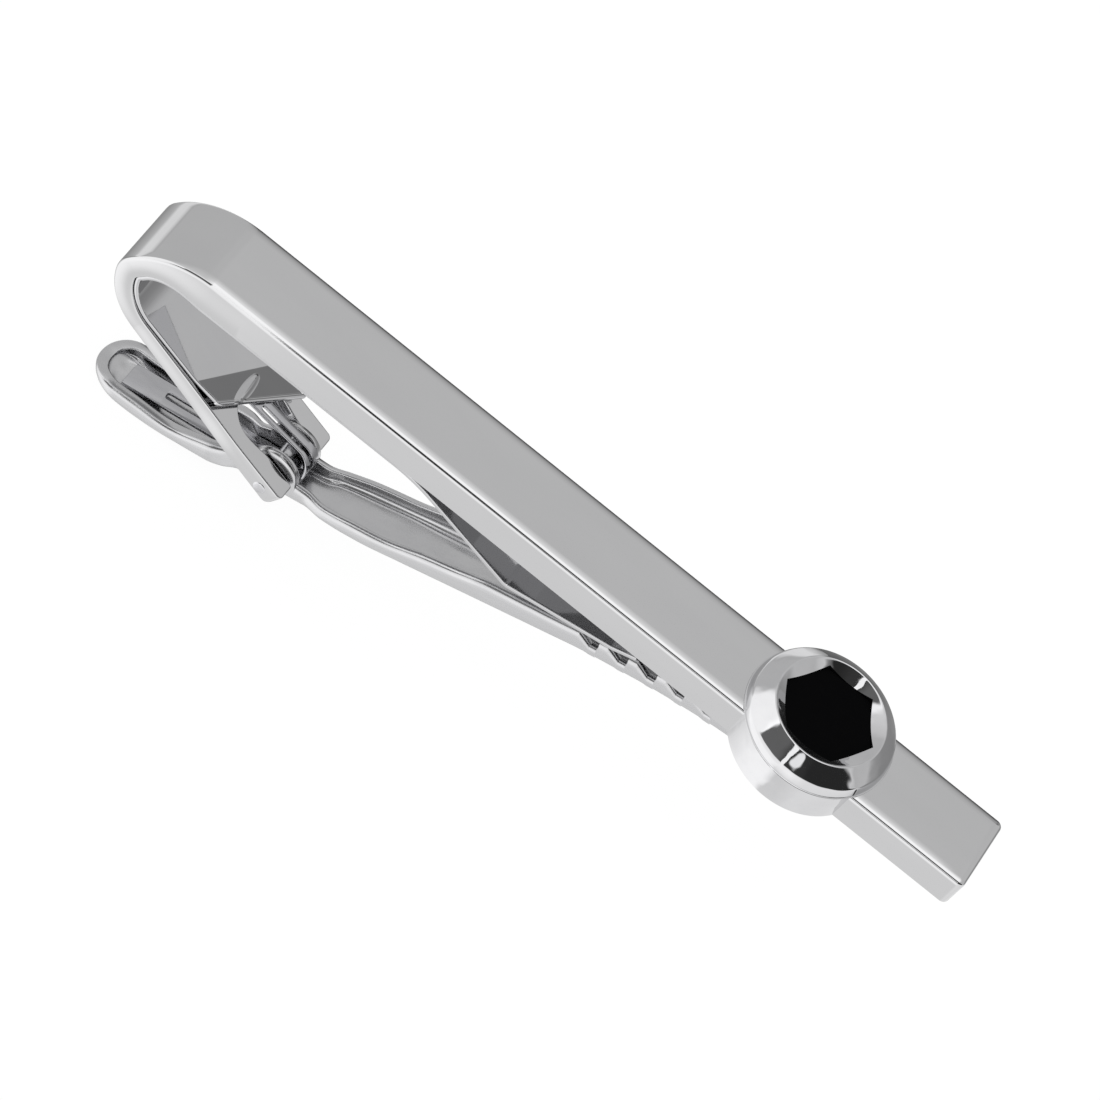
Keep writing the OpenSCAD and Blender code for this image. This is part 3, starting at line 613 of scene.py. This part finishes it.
# The profiles are points of share of the length from the pin and share of a height or a half width: the
# thumb's heights are shares of the cheeks' radius, the jaw's of its rise and its drop.
lever = {"jawLength": 32.6, "thumbLength": 12.75, "width": 4.2, "cheekWidth": 3.04, "cheekRadius": 1.6,
         "rise": 1.3, "drop": 1.8, "wall": 0.52, "thumbWall": 0.24, "floor": 0.42, "lowRound": 0.65,
         "lowShare": 0.55, "dishRound": (0.38, 0.9), "thickerOver": 0.2, "endFrom": 0.7, "endReach": 1.1,
         "endDepth": 0.7, "floorShare": 0.6, "endFloor": 0.35, "rimRound": (0.4, 0.12), "rimShare": 0.25,
         "tipFlat": 1.5, "tipLean": 0.27, "tipLow": 0.67, "notches": 5, "pitch": 1.92,
         "notchDepth": 0.72, "notchLength": 1.35, "notchStart": 20.85,
         "jawTop": [[0.066, -0.34], [0.103, -0.46], [0.17, -0.3], [0.241, -0.18], [0.323, 0.2],
                    [0.383, 0.4], [0.449, 0.68], [0.525, 0.76], [0.586, 0.82], [0.644, 0.9],
                    [0.736, 0.92], [0.813, 0.86], [0.883, 0.68]],
         "jawFloor": [[0.077, -1], [0.18, -0.95], [0.281, -0.81], [0.386, -0.66], [0.488, -0.52],
                      [0.57, -0.41], [0.671, -0.3], [0.773, -0.31], [0.9, -0.47], [0.99, -0.67]],
         "jawPlan": [[0.07, 0], [0.11, 0.55], [0.16, 0.85], [0.235, 1], [0.95, 1], [0.985, 0.92],
                     [1, 0.75]],
         "thumbRim": [[1.0, 0.33], [0.985, 0.36], [0.93, 0.38], [0.76, 0.13], [0.52, -0.25],
                      [0.3, -0.02], [0.18, 0.08], [0.1, 0.2]],
         "thumbUnder": [[1, 0.24], [0.96, 0.02], [0.89, -0.3], [0.81, -0.58], [0.7, -0.8], [0.6, -0.93],
                        [0.48, -1], [0.36, -1.05], [0.235, -1.08], [0.08, -1.08]],
         "thumbPlan": [[0.78, 1], [0.32, 1], [0.25, 0.7], [0.17, 0]]}


def leverPiece():
    # stations along the lever, each with half a section from the underside's middle up over the rim and
    # down into the dish; the thumb's end is the same section turned about a point
    k = lever
    jl, tl, cr = k["jawLength"], k["thumbLength"], k["cheekRadius"]
    tipX = jl - k["tipFlat"] * np.cos(np.radians(clip["closeAngle"]))
    tipZ = k["tipFlat"] * np.sin(np.radians(clip["closeAngle"]))
    jawTop, jawFloor, jawPlan = (np.array(k[name]) for name in ("jawTop", "jawFloor", "jawPlan"))
    thumbRim, thumbUnder, thumbPlan = (np.array(k[name]) for name in ("thumbRim", "thumbUnder", "thumbPlan"))
    topX = np.concatenate([-thumbRim[:, 0] * tl, jawTop[:, 0] * jl, [tipX, jl]])
    topZ = np.concatenate([thumbRim[:, 1] * cr, jawTop[:, 1] * k["rise"], [tipZ, 0]])
    lowX = np.concatenate([-thumbUnder[:, 0] * tl, jawFloor[:, 0] * jl, [jl]])
    lowZ = np.concatenate([thumbUnder[:, 1] * cr, jawFloor[:, 1] * k["drop"], [-k["tipLow"] * k["drop"]]])
    planX = np.concatenate([-thumbPlan[:, 0] * tl, jawPlan[:, 0] * jl])
    planS = np.concatenate([thumbPlan[:, 1], jawPlan[:, 1]])
    starts = k["notchStart"] + k["pitch"] * np.arange(k["notches"])

    # half width, underside, rim and rim with notches at each place along the lever
    def halfAt(x):
        return (k["cheekWidth"] + (k["width"] - k["cheekWidth"]) * smoothCurve(x, planX, planS)) / 2

    def lowAt(x):
        return smoothCurve(x, lowX, lowZ)

    def rimAt(x):
        # the top profile, or the cheek's circle where that is higher
        z = smoothCurve(x, topX, topZ)
        cheek = np.sqrt(np.maximum(cr ** 2 - x ** 2, 0))
        return np.where(np.abs(x) < cr, np.maximum(z, cheek), z)

    def topAt(x):
        # each notch slopes down over 0.6 of its length, runs level to 0.92 of it and rises steeply
        inNotch = (x[..., None] - starts) / k["notchLength"]
        cut = np.interp(inNotch.ravel(), [0, 0.6, 0.92, 1], [0, 1, 1, 0], 0, 0).reshape(inNotch.shape).sum(-1)
        return rimAt(x) - k["notchDepth"] * cut

    # stations crowd at each notch's corners
    bite = np.array([-0.02, 0, 0.02, 0.3, 0.58, 0.6, 0.62, 0.9, 0.92, 0.94, 0.98, 1, 1.02])
    bite = (starts[:, None] + k["notchLength"] * bite).ravel()
    cheekRun = cr * np.sin(np.radians(np.linspace(-90, 90, 37)))
    straightEnd = -tl + k["width"] / 2
    thumbRun, jawRun = np.linspace(straightEnd, -cr - 0.01, 50), np.linspace(cr + 0.01, jl, 130)
    xs = np.unique(np.round(np.concatenate([thumbRun, cheekRun, jawRun, bite]), 4))
    theta = np.linspace(180, 90, 24)[:-1]
    # every station has a middle point and an outward direction: square to the length, or round the
    # thumb's end
    midX = np.concatenate([np.full(len(theta), straightEnd), xs])
    outX = np.concatenate([np.cos(np.radians(theta)), 0 * xs])
    outY = np.concatenate([np.sin(np.radians(theta)), 0 * xs + 1])
    half = np.concatenate([np.full(len(theta), k["width"] / 2), halfAt(xs)])
    edgeX = midX + half * outX
    high, low = topAt(edgeX), lowAt(edgeX)
    body = high - low
    big = np.minimum(k["lowRound"], k["lowShare"] * body)
    small, inside = (np.minimum(v, k["rimShare"] * body) for v in k["rimRound"])
    spread = (2 * half - k["cheekWidth"]) / (k["width"] - k["cheekWidth"])
    # the thumb's rim is thicker than the jaw's walls
    thicker = k["thumbWall"] * easeInOut((-cr - midX) / (k["thickerOver"] * tl))
    wide = k["dishRound"][0] + (k["dishRound"][1] - k["dishRound"][0]) * spread - thicker
    dish = np.clip(k["lowShare"] * (body - np.minimum(k["floor"], k["floorShare"] * body)), 0.02, wide)
    # the dish's end wall slopes down over a longer way than its sides, as deep as the metal inside the
    # rim allows
    atEnd = np.clip(-outX, 0, 1)
    innerX = midX + (half - k["wall"] - thicker) * outX
    innerBody = rimAt(innerX) - lowAt(innerX)
    dish = dish + (k["endDepth"] * (1 - k["endFloor"]) * innerBody - dish) * atEnd ** 4
    reach = dish + (k["endReach"] - dish) * atEnd ** 2
    n = 8
    a = np.radians(np.linspace(0, 90, n + 1))
    shares = np.array([0, 0.35, 0.7])

    def col(v):
        # one value for each station, to work with a row of points
        return v[:, None]

    flatOut = col(half - big)
    wallIn = col(half - k["wall"] - thicker)
    rho = np.concatenate([flatOut * shares,
                          flatOut + col(big) * np.sin(a),
                          col(half) + 0 * shares[:2],
                          col(half - small) + col(small) * np.cos(a[::2]),
                          wallIn + col(inside) - col(inside) * np.sin(a[::2]),
                          wallIn - col(reach) + col(reach) * np.cos(a),
                          (wallIn - col(reach)) * shares[::-1]], 1)
    x = col(midX) + rho * col(outX)
    lowHere = lowAt(x)
    zLow = np.concatenate([lowHere[:, :3], lowHere[:, 3:3 + n + 1] + col(big) * (1 - np.cos(a))], 1)
    c0 = 3 + n + 1
    wallLow, wallHigh = zLow[:, -1:], col(high - small)
    zWall = wallLow + (wallHigh - wallLow) * np.array([0.33, 0.67])
    zRimOut = col(high - small) + col(small) * np.sin(a[::2])
    zRimIn = col(high - inside) + col(inside) * np.cos(a[::2])
    c1 = c0 + 2 + 2 * len(a[::2])
    floorShare = np.where(x < -k["endFrom"] * tl, k["endFloor"], k["floorShare"])
    floorHere = lowHere + np.minimum(k["floor"], floorShare * (rimAt(x) - lowHere))
    zDish = floorHere[:, c1:c1 + n + 1] + col(dish) * (1 - np.sin(a))
    z = np.concatenate([zLow, zWall, zRimOut, zRimIn, zDish, floorHere[:, c1 + n + 1:]], 1)
    y = rho * col(outY)
    # the tip's end leans with its outline
    lean = np.clip((x - (jl - k["tipFlat"])) / k["tipFlat"], 0, 1) * k["tipLean"]
    x = x + lean * z
    ca, sa = np.cos(np.radians(clip["closeAngle"])), np.sin(np.radians(clip["closeAngle"]))
    gx, gz = clip["pinX"] + x * ca - z * sa, clip["pinZ"] + x * sa + z * ca
    shell = Shell()
    right = shell.sheet(toRow(gx, y, gz))
    left = shell.sheet(toRow(gx, -y, gz))
    shell.flat(np.concatenate([right[-1], left[-1, -2:0:-1]]))
    return shell.build("lever", metals["pressedBrassPlated"], 38)


spring = {"width": 1.8, "thickness": 0.25, "edgeRound": 0.06, "curlRadius": 1.27, "past": 0.3, "above": 0.38,
          "upperSides": (0.7, 0.45), "slitWidth": (0.5, 0.26), "slitLow": 7.7, "slitHigh": 2.8,
          "lowerEnd": (3.9545, -15.1919), "upperEnd": (10.4395, -9.43804), "lowTouch": -77.298,
          "highTouch": 78.7738, "stations": 120, "narrowFrom": 45}


def springPiece():
    # a strip carried along its side line, split lengthwise: each half runs from its own side edge to the
    # slit's edge, and beyond the slit's ends the two halves meet in the middle
    k = spring
    centre = np.array([clip["pinX"] + k["past"], clip["pinZ"] + k["above"]])
    angles = np.linspace(k["lowTouch"], k["highTouch"], k["stations"])
    curl = centre + k["curlRadius"] * unit(angles)
    reach = k["slitWidth"][0] / 2
    ends = []
    arms = ((k["lowerEnd"], curl[0], k["slitLow"]), (k["upperEnd"], curl[-1], k["slitHigh"]))
    for tip, touch, slit in arms:
        # stations crowd where the slit closes in a half circle: x = slit end + r(1 - cos a)
        close = clip["pinX"] - slit + reach * (1 - np.cos(np.radians(np.linspace(0, 90, 10))))
        xs = np.unique(np.concatenate([np.linspace(tip[0], touch[0], 50)[:-1], close]))
        share = (xs - tip[0]) / (touch[0] - tip[0])
        ends.append(np.asarray(tip) + share[:, None] * (touch - np.asarray(tip)))
    p = np.concatenate([ends[0], curl, ends[1][::-1]])
    n = np.concatenate([np.tile(unit(k["lowTouch"]), (len(ends[0]), 1)), unit(angles),
                        np.tile(unit(k["highTouch"]), (len(ends[1]), 1))])
    start = np.full(len(p), clip["pinX"] - k["slitLow"])
    start[len(ends[0]) + k["stations"] // 2:] = clip["pinX"] - k["slitHigh"]
    into = np.clip((p[:, 0] - start) / reach, 0, 1)
    # along the rest of the curl the strip and its slit narrow towards the upper arm
    onCurl = np.arange(len(p)) - len(ends[0])
    narrow = easeInOut((onCurl - k["narrowFrom"]) / (k["stations"] - k["narrowFrom"]))
    gap = np.sqrt(1 - (1 - into) ** 2) * (reach + (k["slitWidth"][1] / 2 - reach) * narrow)
    shell = Shell()
    r, t = k["edgeRound"], k["thickness"]
    a = np.radians(np.linspace(0, 90, 5))
    for side, upper in zip((1, -1), k["upperSides"]):
        outer = (k["width"] / 2 + (upper - k["width"] / 2) * narrow)[:, None]
        # loop of one half: rounded outer edge, then the slit's edge, square where there is no slit
        ri = np.minimum(r, gap)[:, None]
        y = np.concatenate([outer - r + r * np.sin(a) + 0 * ri, outer - r + r * np.cos(a) + 0 * ri,
                            gap[:, None] + ri - ri * np.sin(a), gap[:, None] + ri - ri * np.cos(a)], 1)
        d = np.concatenate([r - r * np.cos(a) + 0 * ri, t - r + r * np.sin(a) + 0 * ri,
                            t - ri + ri * np.cos(a), ri - ri * np.sin(a)], 1)
        q = p[:, None, :] + (d - t / 2)[..., None] * n[:, None, :]
        ids = shell.sheet(toRow(q[..., 0], side * y, q[..., 1]), wrapV=True)
        shell.flat(ids[0])
        shell.flat(ids[-1, ::-1])
    return shell.build("leverSpring", metals["drawnSpringSteel"])


pin = {"radius": 0.45, "half": 3.0, "proud": 0.07, "edgeRound": 0.14}


def hingePin():
    # a profile of radius and reach turned about the hinge line, the two ends closed by a flat face
    k = pin
    a = np.radians(np.linspace(0, 90, 6))
    r = k["radius"] - k["edgeRound"] + k["edgeRound"] * np.cos(a)
    reach = k["half"] + k["proud"] - k["edgeRound"] + k["edgeRound"] * np.sin(a)
    radius = np.concatenate([r[::-1], r])
    y = np.concatenate([-reach[::-1], reach])
    u = unit(np.arange(0, 360, 7.5))
    shell = Shell()
    ids = shell.sheet(toRow(clip["pinX"] + radius * u[:, :1], y[None, :] + 0 * u[:, :1],
                            clip["pinZ"] + radius * u[:, 1:]), wrapU=True)
    shell.flat(ids[:, 0])
    shell.flat(ids[::-1, -1])
    return shell.build("hingePin", metals["shearedRivetSteel"])


print("pieces")
made = {"clip_body": (clipBody(), "bar_chrome"), "leaf": (leafPiece(), "leaf_chrome"),
        "collar": (collarPiece(), "collar_chrome"), "hex_inlay": (hexInlay(), "black_enamel"),
        "lever": (leverPiece(), "lever_chrome"), "lever_spring": (springPiece(), "spring_steel"),
        "hinge_pin": (hingePin(), "pin_steel")}
for node, (piece, slot) in made.items():
    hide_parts(node)
    if node == "lever_spring":
        # its lower arm lies in the thumb's dish, its upper arm stays under the leaf
        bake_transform(piece)
    else:
        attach(piece, "jaw" if node == "lever" else "clip")


print("stage")
studio = {"floorSize": 1.2, "floorDrop": 0.00002, "floorColour": "#f4f4f4", "floorWhite": 1.13,
          "shadowShare": 0.2, "lampPower": 0.35, "lampSize": 0.5, "lampPlace": (0.05, -0.15, 0.6),
          "skyLight": 0.55, "tentLight": 1.5, "raggedScale": 7.0, "raggedAngle": 5.0,
          "leftFade": (-0.03, -0.3), "rightFade": (0.15, 0.45), "gapAt": -0.075, "gapHalf": 0.045}
# light by angle, in each column of the tent
tentColumns = {
    "middle": [(-180, 1.35), (-150, 1.2), (-128, 0.93), (-90, 0.9), (-60, 0.45), (-52, 0.35), (-31, 0.2),
               (-10, 0.1), (10, 0.1), (25, 0.2), (35, 0.45), (45, 0.64), (54, 0.72), (60, 0.88), (66, 1.1),
               (72, 1.45), (100, 1.45), (107, 0.05), (150, 0.05), (155, 1.3), (180, 1.35)],
    "left": [(-180, 1.4), (-125, 1.45), (-105, 1.2), (-90, 1.05), (-75, 0.7), (-60, 0.4), (-50, 0.33),
             (-38, 0.46), (-31, 0.58), (-27, 0.66), (-23, 1.0), (-11, 1.0), (-7, 0.8), (-4, 0.58),
             (0, 0.64), (50, 0.65), (63, 0.79), (75, 0.85), (92, 0.95), (103, 1.4), (107, 1.3),
             (111, 0.17), (150, 0.17), (155, 1.2), (180, 1.3)],
    "right": [(-180, 1.1), (-128, 1.07), (-90, 1.0), (-46, 1.0), (-40, 0.9), (-31, 0.4), (-20, 0.31),
              (0, 0.35), (20, 0.45), (35, 0.65), (42, 0.7), (60, 0.68), (75, 0.68), (90, 0.65),
              (103, 0.85), (107, 0.3), (110, 0.03), (150, 0.03), (155, 1.1), (180, 1.1)]}
# the middle column without its dark band
tentColumns["gap"] = [stop for stop in tentColumns["middle"] if not 72 < stop[0] < 180]
# direction, radii in degrees of the card and of its soft edge, and its light
tentCards = [((-0.25, -0.6, -0.76), 6.0, 14.0, 1.4), ((0.256, 0.749, 0.609), 6.0, 8.0, 0.26),
             ((0.13, -0.72, 0.683), 4.5, 7.0, 1.2), ((-0.72, -0.35, 0.602), 7.0, 10.0, 1.6),
             ((-0.93, -0.2, 0.31), 20.0, 30.0, 1.35)]
camera = {"right": (0.7802, 0.4801, 0.4009), "down": (0.6247, -0.6307, -0.4604),
          "ahead": (0.0318, 0.6097, -0.7920), "place": (-0.0103592, -0.1916466, 0.2616647),
          "lens": 179.41, "sensor": 36, "nearest": 0.01, "farthest": 20}


def makeFloor():
    # a white card under the clip, whose lit part keeps the shadow
    s = studio["floorSize"]
    mesh = bpy.data.meshes.new("floor")
    mesh.from_pydata([(-s, -s, 0), (s, -s, 0), (s, s, 0), (-s, s, 0)], [], [(0, 1, 2, 3)])
    floor = placed("floor", mesh)
    floor.location.z = -studio["floorDrop"]
    material = bpy.data.materials.new("whiteCard")
    tree = emptyTree(material)
    card = addNode(tree, "ShaderNodeBsdfDiffuse", {"Color": linearColour(studio["floorColour"])})
    white = addNode(tree, "ShaderNodeEmission", {"Color": (1, 1, 1, 1), "Strength": studio["floorWhite"]})
    seen = addNode(tree, "ShaderNodeLightPath")
    share = addNode(tree, "ShaderNodeMath", {"operation": "MULTIPLY", 1: 1 - studio["shadowShare"]},
                    {0: seen.outputs["Is Camera Ray"]})
    mix = addNode(tree, "ShaderNodeMixShader", {},
                  {0: share.outputs[0], 1: card.outputs[0], 2: white.outputs[0]})
    addNode(tree, "ShaderNodeOutputMaterial", {}, {"Surface": mix.outputs[0]})
    mesh.materials.append(material)
    floor.visible_glossy = False


def makeWorld():
    # a light tent for what the metal mirrors: white cards and dark gaps laid out by the angle round the
    # bar's length, 0 level behind, 90 overhead and 180 level in front, in three columns from left to right.
    # The camera sees white
    world = bpy.data.worlds.new("lightTent")
    bpy.context.scene.world = world
    tree = emptyTree(world)
    direction = addNode(tree, "ShaderNodeTexCoord").outputs["Generated"]
    parts = addNode(tree, "ShaderNodeSeparateXYZ", {}, {0: direction})
    around = addNode(tree, "ShaderNodeMath", {"operation": "ARCTAN2"},
                     {0: parts.outputs["Z"], 1: parts.outputs["Y"]})
    ragged = addNode(tree, "ShaderNodeTexNoise", {"Scale": studio["raggedScale"], "Detail": 2.0},
                     {"Vector": direction})
    swing = np.radians(studio["raggedAngle"])
    bent = addNode(tree, "ShaderNodeMath", {"operation": "MULTIPLY_ADD", 1: swing},
                   {0: ragged.outputs[0], 2: around.outputs[0]})
    place = addNode(tree, "ShaderNodeMapRange",
                    {"From Min": -np.pi + swing / 2, "From Max": np.pi + swing / 2},
                    {"Value": bent.outputs[0]})
    columns = {}
    for name, stops in tentColumns.items():
        columns[name] = addNode(tree, "ShaderNodeValToRGB", {}, {0: place.outputs[0]})
        rampStops(columns[name],
                  [((angle + 180) / 360, light / studio["tentLight"]) for angle, light in stops])
    mixed = columns["middle"].outputs[0]
    for name, (nearX, farX) in (("left", studio["leftFade"]), ("right", studio["rightFade"])):
        share = addNode(tree, "ShaderNodeMapRange", {"interpolation_type": "SMOOTHSTEP", "From Min": nearX,
                                                     "From Max": farX}, {"Value": parts.outputs["X"]})
        mixed = addNode(tree, "ShaderNodeMix", {"data_type": "RGBA"},
                        {0: share.outputs[0], 6: mixed, 7: columns[name].outputs[0]}).outputs[2]
    # a white gap in the dark band, left of the middle column
    aside = addNode(tree, "ShaderNodeMath",
                    {"operation": "COMPARE", 1: studio["gapAt"], 2: studio["gapHalf"]},
                    {0: parts.outputs["X"]})
    mixed = addNode(tree, "ShaderNodeMix", {"data_type": "RGBA"},
                    {0: aside.outputs[0], 6: mixed, 7: columns["gap"].outputs[0]}).outputs[2]
    # cards over the columns: white ones in front, at the left and in the dark band, and a dark one for
    # the leaf's lip
    for centre, inner, outer, light in tentCards:
        toCard = addNode(tree, "ShaderNodeVectorMath", {"operation": "DOT_PRODUCT", 1: centre},
                         {0: direction})
        share = addNode(tree, "ShaderNodeMapRange", {"interpolation_type": "SMOOTHSTEP",
                                                     "From Min": np.cos(np.radians(outer)),
                                                     "From Max": np.cos(np.radians(inner))},
                        {"Value": toCard.outputs["Value"]})
        grey = light / studio["tentLight"]
        mixed = addNode(tree, "ShaderNodeMix", {"data_type": "RGBA", 7: (grey, grey, grey, 1)},
                        {0: share.outputs[0], 6: mixed}).outputs[2]
    seen = addNode(tree, "ShaderNodeLightPath")
    tent = addNode(tree, "ShaderNodeBackground", {"Strength": studio["tentLight"]}, {"Color": mixed})
    soft = addNode(tree, "ShaderNodeBackground", {"Color": (1, 1, 1, 1), "Strength": studio["skyLight"]})
    white = addNode(tree, "ShaderNodeBackground", {"Color": (1, 1, 1, 1), "Strength": 1.0})
    glossy = addNode(tree, "ShaderNodeMixShader", {},
                     {0: seen.outputs["Is Glossy Ray"], 1: soft.outputs[0], 2: tent.outputs[0]})
    everything = addNode(tree, "ShaderNodeMixShader", {},
                         {0: seen.outputs["Is Camera Ray"], 1: glossy.outputs[0], 2: white.outputs[0]})
    addNode(tree, "ShaderNodeOutputWorld", {}, {"Surface": everything.outputs[0]})


def makeLamp():
    # one large softbox overhead, that the metal doesn't mirror
    lamp = bpy.data.lights.new("softbox", "AREA")
    lamp.energy, lamp.size = studio["lampPower"], studio["lampSize"]
    holder = placed("softbox", lamp)
    holder.location = studio["lampPlace"]
    holder.visible_glossy = False


def makeCamera():
    # Blender's camera looks along its -z with y up, so its axes are right, -down and -ahead
    lens = bpy.data.cameras.new("camera")
    lens.lens, lens.sensor_width, lens.sensor_fit = camera["lens"], camera["sensor"], "HORIZONTAL"
    lens.clip_start, lens.clip_end = camera["nearest"], camera["farthest"]
    holder = placed("camera", lens)
    turn = Matrix([camera["right"], [-c for c in camera["down"]], [-c for c in camera["ahead"]]]).transposed()
    holder.matrix_world = Matrix.Translation(camera["place"]) @ turn.to_4x4()
    bpy.context.scene.camera = holder


makeFloor()
makeWorld()
makeLamp()
makeCamera()
bpy.context.scene.view_settings.view_transform = "Standard"
